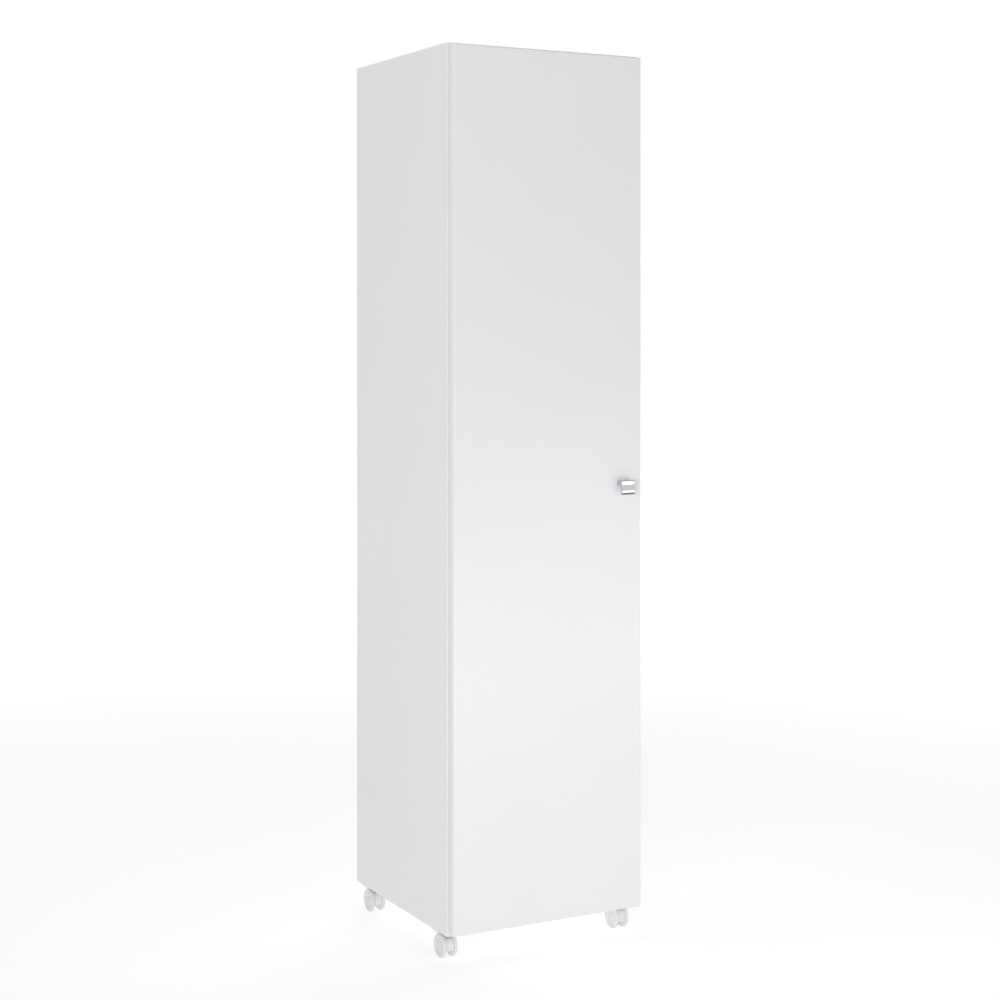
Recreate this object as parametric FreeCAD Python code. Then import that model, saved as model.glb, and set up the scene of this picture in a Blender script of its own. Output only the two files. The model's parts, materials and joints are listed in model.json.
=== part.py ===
import FreeCAD
import Part
import os
from FreeCAD import Vector

os.makedirs("parts", exist_ok=True)

# A tall one-door broom cupboard on four twin-wheel casters, in millimetres.
# +Z is up, the door faces -Y, and the origin is on the floor under the middle of the whole cupboard.

# Carcass
carcass_width = 440.0
carcass_depth = 436.0
carcass_height = 1760.0
board = 18.0
back_board = 3.0
back_inset = 10.0
groove_depth = 6.0
groove_play = 0.1

# Door
door_board = 18.0
door_gap = 4.0
door_side_reveal = 4.0
door_top_reveal = 4.5
door_bottom_reveal = 5.0
door_edge_radius = 1.5
bumper_radius = 4.0
bumper_play = 0.3
bumper_end_distance = 40.0

# Inside boards
shelf_board = 16.0
broom_bay_width = 220.0
broom_bay_height = 1400.0
top_shelf_setback = 5.0
partition_setback = 20.0
small_shelf_setback = 25.0
shelf_back_play = 1.0
shelf_side_play = 0.5
small_shelf_count = 3
shelf_pin_radius = 2.5
shelf_pin_depth = 8.0
shelf_pin_reach = 9.0
shelf_pin_setback = 40.0
pin_hole_pitch = 32.0
pin_hole_spares = 2

# Board fittings: a bolt screwed into a side, drawn tight by a cam in the board between the sides
fitting_setback = 110.0
cam_distance = 24.0
cam_radius = 7.5
cam_depth = 12.5
cam_cross_length = 8.0
cam_cross_width = 1.6
cam_cross_depth = 2.5
bolt_thread_radius = 2.5
bolt_thread_length = 11.0
bolt_shank_radius = 3.0
dowel_radius = 4.0
dowel_side_depth = 11.0
dowel_end_depth = 19.0
dowel_spacing = 32.0

# Pull
pull_width = 30.0
pull_height = 29.0
pull_projection = 21.0
pull_arm_height = 11.0
pull_plate = 4.5
pull_band = 8.0
pull_panel = 12.5
pull_panel_step = 1.6
pull_lip = 3.7
pull_flare = 2.0
pull_nose_radius = 1.8
pull_tip_radius = 0.8
pull_side_inset = 27.0
pull_height_above_base = 871.5
pull_screw_spacing = 16.0
pull_screw_radius = 2.0
pull_screw_depth = 9.0
pull_screw_head_radius = 4.0
pull_screw_head = 2.4

# Hinges: a cup in the door turns on a pin in the end of a bent arm, screwed to a plate on the left side
hinge_end_distance = 100.0
cup_radius = 17.5
cup_depth = 13.5
cup_wall = 1.0
cup_edge_distance = 3.0
cup_flange = 1.2
cup_flange_rim = 1.5
cup_ear_height = 62.0
cup_ear_width = 16.0
cup_screw_spacing = 48.0
cup_screw_offset = 6.0
hinge_pin_radius = 1.5
hinge_pin_inset = 8.5
hinge_pin_depth = 9.0
hinge_eye_radius = 2.8
cup_lug = 3.0
cup_lug_play = 0.3
arm_height = 12.0
arm_thickness = 2.5
arm_nose_thickness = 2.0
arm_bend_radius = 1.5
hinge_plate = 6.5
hinge_plate_length = 46.0
hinge_plate_height = 16.0
hinge_plate_setback = 37.0
hinge_wing_thickness = 2.0
hinge_wing_length = 12.0
hinge_wing_height = 46.0
hinge_screw_spacing = 32.0
arm_screw_spacing = 22.0
arm_screw_radius = 2.0
arm_screw_bite = 3.5
arm_screw_head_radius = 3.5
arm_screw_head = 1.5

# Wood screws shared by the hinges and the casters
wood_screw_radius = 1.7
wood_screw_depth = 11.0
wood_screw_head_radius = 3.2
wood_screw_head = 1.6

# Casters
caster_height = 54.5
caster_side_inset = 20.5
caster_front_inset = 53.0
caster_back_inset = 39.5
caster_trail = 7.0
caster_plate = 2.5
caster_plate_size = 38.0
caster_plate_corner = 3.0
caster_screw_spacing = 28.0
wheel_diameter = 48.0
wheel_width = 6.0
wheel_edge_radius = 2.0
wheel_rim = 7.0
wheel_hub_radius = 8.0
wheel_recess = 1.2
wheel_hub_cap = 1.5
axle_radius = 3.0
hood_width = 17.0
hood_radius = 22.0
hood_edge_radius = 1.2
hood_lip_radius = 2.5
hood_floor_gap = 16.0
hood_front_height = 39.5
hood_cheek = 2.5
hood_side_play = 0.5
hood_top_play = 0.4
kingpin_radius = 4.0
kingpin_depth = 21.0
kingpin_end_play = 0.5

# Clearances and cutting overrun
fit_play = 0.05
running_play = 0.05
cut_overrun = 1.0

# Places that follow from the sizes above
x_left = -carcass_width / 2
x_right = carcass_width / 2
x_left_inner = x_left + board
x_right_inner = x_right - board
y_back = (carcass_depth + door_gap + door_board + pull_projection) / 2
y_front = y_back - carcass_depth
y_door_back = y_front - door_gap
y_door_front = y_door_back - door_board
y_back_panel = y_back - back_inset - back_board
y_shelf_back = y_back_panel - shelf_back_play
z_base = caster_height
z_floor = z_base + board
z_top = z_base + carcass_height
z_ceiling = z_top - board
z_shelf = z_floor + broom_bay_height
x_door_left = x_left + door_side_reveal
x_door_right = x_right - door_side_reveal
z_door_bottom = z_base + door_bottom_reveal
z_door_top = z_top - door_top_reveal
x_partition = x_left_inner + broom_bay_width
x_partition_right = x_partition + shelf_board

X = Vector(1, 0, 0)
Y = Vector(0, 1, 0)
Z = Vector(0, 0, 1)

# Holes and grooves that the fittings leave in each board, by the board's name
cuts = {}
# Small identical pieces that share a node, by the node's name
groups = {}


def box(x0, y0, z0, x1, y1, z1):
    return Part.makeBox(x1 - x0, y1 - y0, z1 - z0, Vector(x0, y0, z0))


def rod(radius, start, end):
    return Part.makeCylinder(radius, (end - start).Length, start, end - start)


def bar(middle, along, length, across, width, through, height):
    half = along * (length / 2) + across * (width / 2) + through * (height / 2)
    size = Vector(abs(half.x), abs(half.y), abs(half.z))
    low = middle - size
    high = middle + size
    return box(low.x, low.y, low.z, high.x, high.y, high.z)


def cut_in(name, shape):
    cuts.setdefault(name, []).append(shape)


def add_to(name, shape):
    groups.setdefault(name, []).append(shape)


def save(name, shape):
    shape.exportStep("parts/" + name + ".step")


def save_board(name, shape):
    if name in cuts:
        shape = shape.cut(cuts[name])
    save(name, shape)


def edges_at(shape, *planes):
    def lies_on(edge):
        ends = [vertex.Point for vertex in edge.Vertexes]
        return all(abs(end.dot(axis) - place) < fit_play for end in ends for axis, place in planes)
    return [edge for edge in shape.Edges if lies_on(edge)]


def rim_circles(shape, radius):
    def is_rim(edge):
        return isinstance(edge.Curve, Part.Circle) and abs(edge.Curve.Radius - radius) < fit_play
    return [edge for edge in shape.Edges if is_rim(edge)]


# A screw whose head rests at the point seat and whose shank runs along the unit vector into
def screw(seat, into, radius, length, head_radius, head):
    shank = rod(radius, seat, seat + into * length)
    cap = rod(head_radius, seat - into * head, seat)
    return shank.fuse(cap).removeSplitter()


def screw_hole(seat, into, radius, length):
    return rod(radius + fit_play, seat - into * cut_overrun, seat + into * (length + fit_play))


# A cam fitting at a point where a side meets the end of a board: into points along that board,
# and face points from the middle of the board to the face that the cam is let into
def cam_fitting(side, inner_board, point, into, face, face_distance):
    centre = point + into * cam_distance
    mouth = centre + face * face_distance
    third = into.cross(face)
    thread_end = point - into * bolt_thread_length
    thread = rod(bolt_thread_radius, thread_end, point)
    shank = rod(bolt_shank_radius, point, centre)
    add_to("cam_bolts", thread.fuse(shank).removeSplitter())
    thread_hole_end = thread_end - into * fit_play
    cut_in(side, rod(bolt_thread_radius + fit_play, thread_hole_end, point + into * cut_overrun))

    shank_hole = rod(bolt_shank_radius + fit_play, point - into * cut_overrun, centre + into * fit_play)
    cam = rod(cam_radius, mouth - face * cam_depth, mouth).cut(shank_hole)
    recess = mouth - face * (cam_cross_depth / 2)
    for along, across in ((into, third), (third, into)):
        cam = cam.cut(bar(recess, along, cam_cross_length, across, cam_cross_width, face, cam_cross_depth))
    add_to("cam_locks", cam)
    bore = rod(cam_radius + fit_play, mouth - face * (cam_depth + fit_play), mouth + face * cut_overrun)
    cut_in(inner_board, bore)
    cut_in(inner_board, shank_hole)


# A dowel across the joint between a board's face and another board's end
def dowel(face_board, end_board, point, into):
    start = point - into * dowel_side_depth
    end = point + into * dowel_end_depth
    add_to("dowels", rod(dowel_radius, start, end))
    cut_in(face_board, rod(dowel_radius + fit_play, start - into * fit_play, point + into * cut_overrun))
    cut_in(end_board, rod(dowel_radius + fit_play, point - into * cut_overrun, end + into * fit_play))


def join_between_sides(inner_board, z_middle, thickness):
    joints = (("left_side_panel", x_left_inner, X), ("right_side_panel", x_right_inner, -X))
    for side, x_joint, into in joints:
        for y, inward in ((y_front + fitting_setback, 1), (y_back - fitting_setback, -1)):
            point = Vector(x_joint, y, z_middle)
            cam_fitting(side, inner_board, point, into, -Z, thickness / 2)
            dowel(side, inner_board, point + Y * (dowel_spacing * inward), into)


# Board fittings
join_between_sides("top_panel", z_ceiling + board / 2, board)
join_between_sides("bottom_panel", z_base + board / 2, board)
join_between_sides("top_shelf", z_shelf + shelf_board / 2, shelf_board)
for y in (y_front + fitting_setback, y_shelf_back - fitting_setback):
    dowel("bottom_panel", "partition", Vector((x_partition + x_partition_right) / 2, y, z_floor), Z)
    dowel("top_shelf", "partition", Vector((x_partition + x_partition_right) / 2, y, z_shelf), -Z)

# Back panel in a groove that runs round the four outer boards
back_panel = box(
    x_left_inner - groove_depth, y_back_panel, z_floor - groove_depth,
    x_right_inner + groove_depth, y_back_panel + back_board, z_ceiling + groove_depth)
groove = box(
    x_left_inner - groove_depth - groove_play, y_back_panel - groove_play,
    z_floor - groove_depth - groove_play,
    x_right_inner + groove_depth + groove_play, y_back_panel + back_board + groove_play,
    z_ceiling + groove_depth + groove_play)
for name in ("left_side_panel", "right_side_panel", "top_panel", "bottom_panel"):
    cut_in(name, groove)
save("back_panel", back_panel)

# Small shelves on pins between the partition and the right side, with spare pin holes above and below
shelf_pitch = (broom_bay_height - small_shelf_count * shelf_board) / (small_shelf_count + 1) + shelf_board
y_small_shelf = y_front + small_shelf_setback
pin_faces = (("partition", x_partition_right, -X), ("right_side_panel", x_right_inner, X))
for i in range(small_shelf_count):
    z_under = z_floor + shelf_pitch * (i + 1) - shelf_board
    save("small_shelf_" + str(i + 1), box(
        x_partition_right + shelf_side_play, y_small_shelf, z_under,
        x_right_inner - shelf_side_play, y_shelf_back, z_under + shelf_board))
    for y in (y_small_shelf + shelf_pin_setback, y_shelf_back - shelf_pin_setback):
        z_pin = z_under - shelf_pin_radius - fit_play
        for name, x_face, into in pin_faces:
            face_point = Vector(x_face, y, z_pin)
            deep_end = face_point + into * shelf_pin_depth
            add_to("shelf_pins", rod(shelf_pin_radius, deep_end, face_point - into * shelf_pin_reach))
            hole = rod(
                shelf_pin_radius + fit_play,
                face_point - into * cut_overrun, deep_end + into * fit_play)
            for step in range(-pin_hole_spares, pin_hole_spares + 1):
                cut_in(name, hole.translated(Z * (step * pin_hole_pitch)))

# Hinges on the left side
x_pin = x_door_left + hinge_pin_inset
y_pin = y_door_back - hinge_pin_depth
x_cup = x_door_left + cup_edge_distance + cup_radius
x_arm = x_left_inner + hinge_plate
y_plate = y_front + hinge_plate_setback
y_plate_front = y_plate - hinge_plate_length / 2
y_plate_back = y_plate + hinge_plate_length / 2
cup_inner_radius = cup_radius - cup_wall
z_lug = arm_height / 2 + cup_lug_play
hinge_pin_half = z_lug + cup_lug


def hinge_cup(z):
    back = Vector(x_cup, y_door_back, z)
    cup = rod(cup_radius, back - Y * cup_depth, back)
    flange = rod(cup_radius + cup_flange_rim, back, back + Y * cup_flange)
    x_ears = x_cup + cup_screw_offset
    ears = box(
        x_ears - cup_ear_width / 2, y_door_back, z - cup_ear_height / 2,
        x_ears + cup_ear_width / 2, y_door_back + cup_flange, z + cup_ear_height / 2)
    hollow = rod(cup_inner_radius, back - Y * (cup_depth - cup_wall), back + Y * (cup_flange + cut_overrun))
    shape = cup.fuse([flange, ears]).removeSplitter().cut(hollow)
    for z_low in (z - hinge_pin_half, z + z_lug):
        lug = box(
            x_pin - hinge_eye_radius, y_door_back - cup_depth, z_low,
            x_pin + hinge_eye_radius, y_pin + hinge_eye_radius, z_low + cup_lug)
        shape = shape.fuse(lug.common(cup)).removeSplitter()
    pin_reach = hinge_pin_half + fit_play
    shape = shape.cut(rod(
        hinge_pin_radius + fit_play,
        Vector(x_pin, y_pin, z - pin_reach), Vector(x_pin, y_pin, z + pin_reach)))
    bore_end = back - Y * (cup_depth + fit_play)
    cut_in("door_panel", rod(cup_radius + fit_play, bore_end, back + Y * cut_overrun))
    for side in (-1, 1):
        seat = Vector(x_ears, y_door_back + cup_flange, z + side * cup_screw_spacing / 2)
        add_to("hinge_cup_screws", screw(
            seat, -Y, wood_screw_radius, wood_screw_depth, wood_screw_head_radius, wood_screw_head))
        hole = screw_hole(seat, -Y, wood_screw_radius, wood_screw_depth)
        shape = shape.cut(hole)
        cut_in("door_panel", hole)
    return shape


def hinge_arm(z):
    z_low = z - arm_height / 2
    z_high = z + arm_height / 2
    x_outer = x_arm + arm_thickness
    y_nose = y_pin - arm_nose_thickness / 2
    nose = box(x_pin, y_nose, z_low, x_outer, y_pin + arm_nose_thickness / 2, z_high)
    strip = box(x_arm, y_nose, z_low, x_outer, y_plate_back, z_high)
    bent = nose.fuse(strip).removeSplitter()
    bent = bent.makeFillet(arm_bend_radius, edges_at(bent, (X, x_outer), (Y, y_nose)))
    eye = rod(hinge_eye_radius, Vector(x_pin, y_pin, z_low), Vector(x_pin, y_pin, z_high))
    pin_hole = rod(
        hinge_pin_radius + running_play,
        Vector(x_pin, y_pin, z_low - cut_overrun), Vector(x_pin, y_pin, z_high + cut_overrun))
    shape = bent.fuse(eye).removeSplitter().cut(pin_hole)
    for y in (y_plate - arm_screw_spacing / 2, y_plate + arm_screw_spacing / 2):
        seat = Vector(x_outer, y, z)
        length = arm_thickness + arm_screw_bite
        add_to("hinge_arm_screws", screw(
            seat, -X, arm_screw_radius, length, arm_screw_head_radius, arm_screw_head))
        shape = shape.cut(screw_hole(seat, -X, arm_screw_radius, length))
    return shape


def hinge_mounting_plate(z):
    rail = box(
        x_left_inner, y_plate_front, z - hinge_plate_height / 2,
        x_arm, y_plate_back, z + hinge_plate_height / 2)
    wing = box(
        x_left_inner, y_plate - hinge_wing_length / 2, z - hinge_wing_height / 2,
        x_left_inner + hinge_wing_thickness, y_plate + hinge_wing_length / 2, z + hinge_wing_height / 2)
    shape = rail.fuse(wing).removeSplitter()
    for y in (y_plate - arm_screw_spacing / 2, y_plate + arm_screw_spacing / 2):
        shape = shape.cut(screw_hole(Vector(x_arm, y, z), -X, arm_screw_radius, arm_screw_bite))
    for side in (-1, 1):
        seat = Vector(x_left_inner + hinge_wing_thickness, y_plate, z + side * hinge_screw_spacing / 2)
        add_to("hinge_plate_screws", screw(
            seat, -X, wood_screw_radius, wood_screw_depth, wood_screw_head_radius, wood_screw_head))
        hole = screw_hole(seat, -X, wood_screw_radius, wood_screw_depth)
        shape = shape.cut(hole)
        cut_in("left_side_panel", hole)
    return shape


hinge_places = (
    ("bottom", z_base + hinge_end_distance),
    ("middle", (z_base + z_top) / 2),
    ("top", z_top - hinge_end_distance))
for place, z_hinge in hinge_places:
    save("hinge_cup_" + place, hinge_cup(z_hinge))
    save("hinge_arm_" + place, hinge_arm(z_hinge))
    save("hinge_plate_" + place, hinge_mounting_plate(z_hinge))
    pin_low = Vector(x_pin, y_pin, z_hinge - hinge_pin_half)
    pin_high = Vector(x_pin, y_pin, z_hinge + hinge_pin_half)
    add_to("hinge_pins", rod(hinge_pin_radius, pin_low, pin_high))

# Pull: a bar of one section, a short arm from the door that carries a scooped front plate with a lip
x_pull_right = x_door_right - pull_side_inset
x_pull_left = x_pull_right - pull_width
z_pull_top = z_base + pull_height_above_base + pull_height / 2
z_pull_bottom = z_pull_top - pull_height
y_pull = y_door_front - pull_projection
y_pull_face = y_pull + pull_flare
y_pull_inner = y_pull_face + pull_plate


def pull_point(y, z):
    return Vector(x_pull_left, y, z)


# From the top down, the pull's front has a rounded nose, a flat band, a panel that starts behind the band
# and leans out to it, a flat lip, and a tip that flares out for the fingers
def pull_section():
    z_band = z_pull_top - pull_band
    z_panel = z_band - pull_panel
    z_lip = z_panel - pull_lip
    z_arm = z_pull_top - pull_arm_height
    nose = pull_nose_radius
    tip = pull_tip_radius
    corner = 1 - 0.5 ** 0.5
    top_door = pull_point(y_door_front, z_pull_top)
    top_nose = pull_point(y_pull_face + nose, z_pull_top)
    nose_middle = pull_point(y_pull_face + nose * corner, z_pull_top - nose * corner)
    front_top = pull_point(y_pull_face, z_pull_top - nose)
    band_end = pull_point(y_pull_face, z_band)
    panel_start = pull_point(y_pull_face + pull_panel_step, z_band)
    panel_end = pull_point(y_pull_face, z_panel)
    lip_end = pull_point(y_pull_face, z_lip)
    tip_front = pull_point(y_pull, z_pull_bottom + tip)
    tip_middle = pull_point(y_pull + tip * corner, z_pull_bottom + tip * corner)
    tip_bottom = pull_point(y_pull + tip, z_pull_bottom)
    bottom_inner = pull_point(y_pull_inner, z_pull_bottom)
    arm_inner = pull_point(y_pull_inner, z_arm)
    arm_door = pull_point(y_door_front, z_arm)
    edges = [
        Part.LineSegment(top_door, top_nose),
        Part.Arc(top_nose, nose_middle, front_top),
        Part.LineSegment(front_top, band_end),
        Part.LineSegment(band_end, panel_start),
        Part.LineSegment(panel_start, panel_end),
        Part.LineSegment(panel_end, lip_end),
        Part.LineSegment(lip_end, tip_front),
        Part.Arc(tip_front, tip_middle, tip_bottom),
        Part.LineSegment(tip_bottom, bottom_inner),
        Part.LineSegment(bottom_inner, arm_inner),
        Part.LineSegment(arm_inner, arm_door),
        Part.LineSegment(arm_door, top_door)]
    return Part.Face(Part.Wire([edge.toShape() for edge in edges]))


pull = pull_section().extrude(X * pull_width)
for side in (-1, 1):
    x_screw = (x_pull_left + x_pull_right) / 2 + side * pull_screw_spacing / 2
    seat = Vector(x_screw, y_door_back, z_pull_top - pull_arm_height / 2)
    length = door_board + pull_screw_depth
    add_to("pull_screws", screw(
        seat, -Y, pull_screw_radius, length, pull_screw_head_radius, pull_screw_head))
    hole = screw_hole(seat, -Y, pull_screw_radius, length)
    pull = pull.cut(hole)
    cut_in("door_panel", hole)
save("pull", pull)

# Soft bumpers on the back of the door, where it meets the right side
for z in (z_door_bottom + bumper_end_distance, z_door_top - bumper_end_distance):
    foot = Vector((x_right_inner + x_door_right) / 2, y_door_back, z)
    add_to("door_bumpers", rod(bumper_radius, foot, foot + Y * (door_gap - bumper_play)))

# Casters: a plate under the cupboard holds a kingpin, on which a hood with two wheels swivels
wheel_radius = wheel_diameter / 2
z_plate = caster_height - caster_plate
z_hood_top = z_plate - hood_top_play
x_wheel = hood_width / 2 + hood_side_play
axle_half = x_wheel + wheel_width - wheel_hub_cap


def caster_wheel(axle, out):
    inner = axle + out * x_wheel
    outer = inner + out * wheel_width
    disc = rod(wheel_radius, inner, outer)
    disc = disc.makeFillet(wheel_edge_radius, rim_circles(disc, wheel_radius))
    dish = rod(wheel_radius - wheel_rim, outer - out * wheel_recess, outer + out * cut_overrun)
    hub = rod(wheel_hub_radius, outer - out * wheel_recess, outer + out * cut_overrun)
    bore_end = axle + out * (axle_half + running_play)
    bore = rod(axle_radius + running_play, inner - out * cut_overrun, bore_end)
    return disc.cut([dish.cut(hub), bore])


# A drum between the wheels with a flat underside. In front of the boss, which turns on the kingpin,
# a pocket between two cheeks leaves the hood lower
def caster_hood(king_x, king_y, axle):
    def on_drum(z, hand):
        reach = (hood_radius ** 2 - (z - axle.z) ** 2) ** 0.5
        return Vector(axle.x - hood_width / 2, axle.y + hand * reach, z)

    front_lip = on_drum(hood_floor_gap, -1)
    back_lip = on_drum(hood_floor_gap, 1)
    top = Vector(front_lip.x, axle.y, axle.z + hood_radius)
    outline = [Part.Arc(front_lip, top, back_lip).toShape(), Part.makeLine(back_lip, front_lip)]
    shell = Part.Face(Part.Wire(outline)).extrude(X * hood_width)
    lips = edges_at(shell, (Y, front_lip.y), (Z, front_lip.z)) + edges_at(shell, (Y, back_lip.y), (Z, back_lip.z))
    shell = shell.makeFillet(hood_lip_radius, lips)
    shell = shell.makeFillet(hood_edge_radius, rim_circles(shell, hood_radius))
    half_pocket = hood_width / 2 - hood_cheek
    shell = shell.cut(box(
        axle.x - half_pocket, axle.y - wheel_diameter, hood_front_height,
        axle.x + half_pocket, king_y, z_hood_top))
    brow = on_drum(hood_front_height, -1)
    shell = shell.makeFillet(hood_edge_radius, edges_at(shell, (Y, brow.y), (Z, brow.z)))
    boss = rod(hood_width / 2, Vector(king_x, king_y, axle.z), Vector(king_x, king_y, z_hood_top))
    king_low = Vector(king_x, king_y, z_hood_top - kingpin_depth - kingpin_end_play)
    king_hole = rod(kingpin_radius + running_play, king_low, Vector(king_x, king_y, caster_height))
    side = X * (hood_width / 2 + cut_overrun)
    axle_hole = rod(axle_radius + fit_play, axle - side, axle + side)
    return shell.fuse(boss).removeSplitter().cut([king_hole, axle_hole])


def caster_plate_shape(king_x, king_y):
    half = caster_plate_size / 2
    shape = box(king_x - half, king_y - half, z_plate, king_x + half, king_y + half, caster_height)
    corners = []
    for x in (king_x - half, king_x + half):
        for y in (king_y - half, king_y + half):
            corners += edges_at(shape, (X, x), (Y, y))
    shape = shape.makeFillet(caster_plate_corner, corners)
    hole_low = Vector(king_x, king_y, z_plate - cut_overrun)
    hole_high = Vector(king_x, king_y, caster_height + cut_overrun)
    shape = shape.cut(rod(kingpin_radius + fit_play, hole_low, hole_high))
    for x in (-caster_screw_spacing / 2, caster_screw_spacing / 2):
        for y in (-caster_screw_spacing / 2, caster_screw_spacing / 2):
            seat = Vector(king_x + x, king_y + y, z_plate)
            length = caster_plate + wood_screw_depth
            add_to("caster_screws", screw(
                seat, Z, wood_screw_radius, length, wood_screw_head_radius, wood_screw_head))
            hole = screw_hole(seat, Z, wood_screw_radius, length)
            shape = shape.cut(hole)
            for name in ("left_side_panel", "right_side_panel", "bottom_panel"):
                cut_in(name, hole)
    return shape


for end, king_y in (("front", y_front + caster_front_inset), ("back", y_back - caster_back_inset)):
    for hand, king_x in (("left", x_left + caster_side_inset), ("right", x_right - caster_side_inset)):
        prefix = "caster_" + end + "_" + hand
        axle = Vector(king_x, king_y - caster_trail, wheel_radius)
        save(prefix + "_plate", caster_plate_shape(king_x, king_y))
        save(prefix + "_hood", caster_hood(king_x, king_y, axle))
        save(prefix + "_axle", rod(axle_radius, axle - X * axle_half, axle + X * axle_half))
        save(prefix + "_wheel_left", caster_wheel(axle, -X))
        save(prefix + "_wheel_right", caster_wheel(axle, X))
        king_low = Vector(king_x, king_y, z_hood_top - kingpin_depth)
        add_to("caster_kingpins", rod(kingpin_radius, king_low, Vector(king_x, king_y, caster_height)))

# Boards, with all their holes
save_board("left_side_panel", box(x_left, y_front, z_base, x_left_inner, y_back, z_top))
save_board("right_side_panel", box(x_right_inner, y_front, z_base, x_right, y_back, z_top))
save_board("top_panel", box(x_left_inner, y_front, z_ceiling, x_right_inner, y_back, z_top))
save_board("bottom_panel", box(x_left_inner, y_front, z_base, x_right_inner, y_back, z_floor))
save_board("top_shelf", box(
    x_left_inner, y_front + top_shelf_setback, z_shelf, x_right_inner, y_shelf_back, z_shelf + shelf_board))
save_board("partition", box(
    x_partition, y_front + partition_setback, z_floor, x_partition_right, y_shelf_back, z_shelf))
door = box(x_door_left, y_door_front, z_door_bottom, x_door_right, y_door_back, z_door_top)
door = door.makeFillet(door_edge_radius, edges_at(door, (Y, y_door_front)))
save_board("door_panel", door)

for name, solids in groups.items():
    save(name, Part.makeCompound(solids))
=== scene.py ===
# %% [markdown]
# # A tall broom cupboard on casters
# This lesson dresses a finished cupboard model. The boards, hinges and casters come in as a fixed frame
# at their real size, in metres, with the floor at zero, the door towards -Y and +X to the right.
# Every finish and every piece that we add is made here, around that frame, and nothing in it is moved.

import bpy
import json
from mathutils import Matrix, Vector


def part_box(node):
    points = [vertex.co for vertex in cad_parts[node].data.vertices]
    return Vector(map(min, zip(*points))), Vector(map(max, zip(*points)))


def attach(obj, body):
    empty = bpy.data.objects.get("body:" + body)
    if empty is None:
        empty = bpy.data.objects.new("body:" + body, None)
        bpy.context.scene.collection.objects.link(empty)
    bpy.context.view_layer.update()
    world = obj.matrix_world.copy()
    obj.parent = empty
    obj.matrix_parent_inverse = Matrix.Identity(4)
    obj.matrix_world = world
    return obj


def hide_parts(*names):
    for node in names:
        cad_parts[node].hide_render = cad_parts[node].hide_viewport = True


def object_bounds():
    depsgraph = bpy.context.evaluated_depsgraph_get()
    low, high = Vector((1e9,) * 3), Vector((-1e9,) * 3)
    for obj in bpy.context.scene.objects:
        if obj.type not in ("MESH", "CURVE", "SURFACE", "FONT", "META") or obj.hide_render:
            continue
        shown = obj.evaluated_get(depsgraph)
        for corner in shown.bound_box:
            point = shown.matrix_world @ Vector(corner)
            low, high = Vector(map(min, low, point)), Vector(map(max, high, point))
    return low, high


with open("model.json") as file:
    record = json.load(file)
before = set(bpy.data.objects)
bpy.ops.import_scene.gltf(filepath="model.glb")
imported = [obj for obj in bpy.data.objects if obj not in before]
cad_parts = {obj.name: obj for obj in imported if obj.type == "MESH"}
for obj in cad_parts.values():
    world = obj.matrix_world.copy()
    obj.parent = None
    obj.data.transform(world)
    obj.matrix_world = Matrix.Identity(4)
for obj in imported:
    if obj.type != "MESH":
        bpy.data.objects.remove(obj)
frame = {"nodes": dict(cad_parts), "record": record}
cad_low, cad_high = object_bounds()
print("cupboard box in metres", [round(v, 4) for v in cad_low], [round(v, 4) for v in cad_high])

# %% [markdown]
# ## Tools for the whole lesson
# Sizes on a cupboard are spoken of in millimetres, and Blender works in metres, so one value turns one
# into the other. Colours are written as hex values, as a paint card gives them, and are turned to the
# linear values that the renderer mixes light in. One small function adds a shader node with its settings
# and links, which keeps each material short enough to read as a recipe.

# %% Units, colours and shader nodes
import json
import math

import bmesh
import bpy
from mathutils import Matrix, Vector

MM = 0.001
BUMP_DEPTH = 0.1 * MM


def linear(hex_colour):
    channels = [int(hex_colour[i:i + 2], 16) / 255 for i in (1, 3, 5)]
    return [c / 12.92 if c <= 0.04045 else ((c + 0.055) / 1.055) ** 2.4 for c in channels] + [1.0]


def add_node(tree, kind, inputs=None, **settings):
    node = tree.nodes.new("ShaderNode" + kind)
    for name, value in settings.items():
        setattr(node, name, value)
    for socket, value in (inputs or {}).items():
        if isinstance(value, bpy.types.NodeSocket):
            tree.links.new(value, node.inputs[socket])
        else:
            node.inputs[socket].default_value = value
    return node


def new_material(name, **surface):
    material = bpy.data.materials.new(name)
    material.use_nodes = True
    tree = material.node_tree
    shader = tree.nodes["Principled BSDF"]
    for socket, value in surface.items():
        shader.inputs[socket.replace("_", " ")].default_value = value
    place = add_node(tree, "TexCoord").outputs["Object"]
    return material, tree, shader, place


print("one millimetre is", MM, "metres")

# %% [markdown]
# ## White melamine
# The boards are particle board pressed between sheets of white melamine resin. The press plate leaves a
# faint pearl texture, so light breaks up softly and a wide gloss lies over the whole face. A flat white
# would do for a distant shot, but the pearl bump and a slight drift in gloss make it read as a real board.
# The true pearl is about a third of a millimetre, too fine to show, so it is drawn several times as coarse.

# %% White melamine
PEARL_SIZE = 2.5 * MM
GLOSS_PATCH = 90 * MM
TONE_PATCH = 260 * MM


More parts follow.
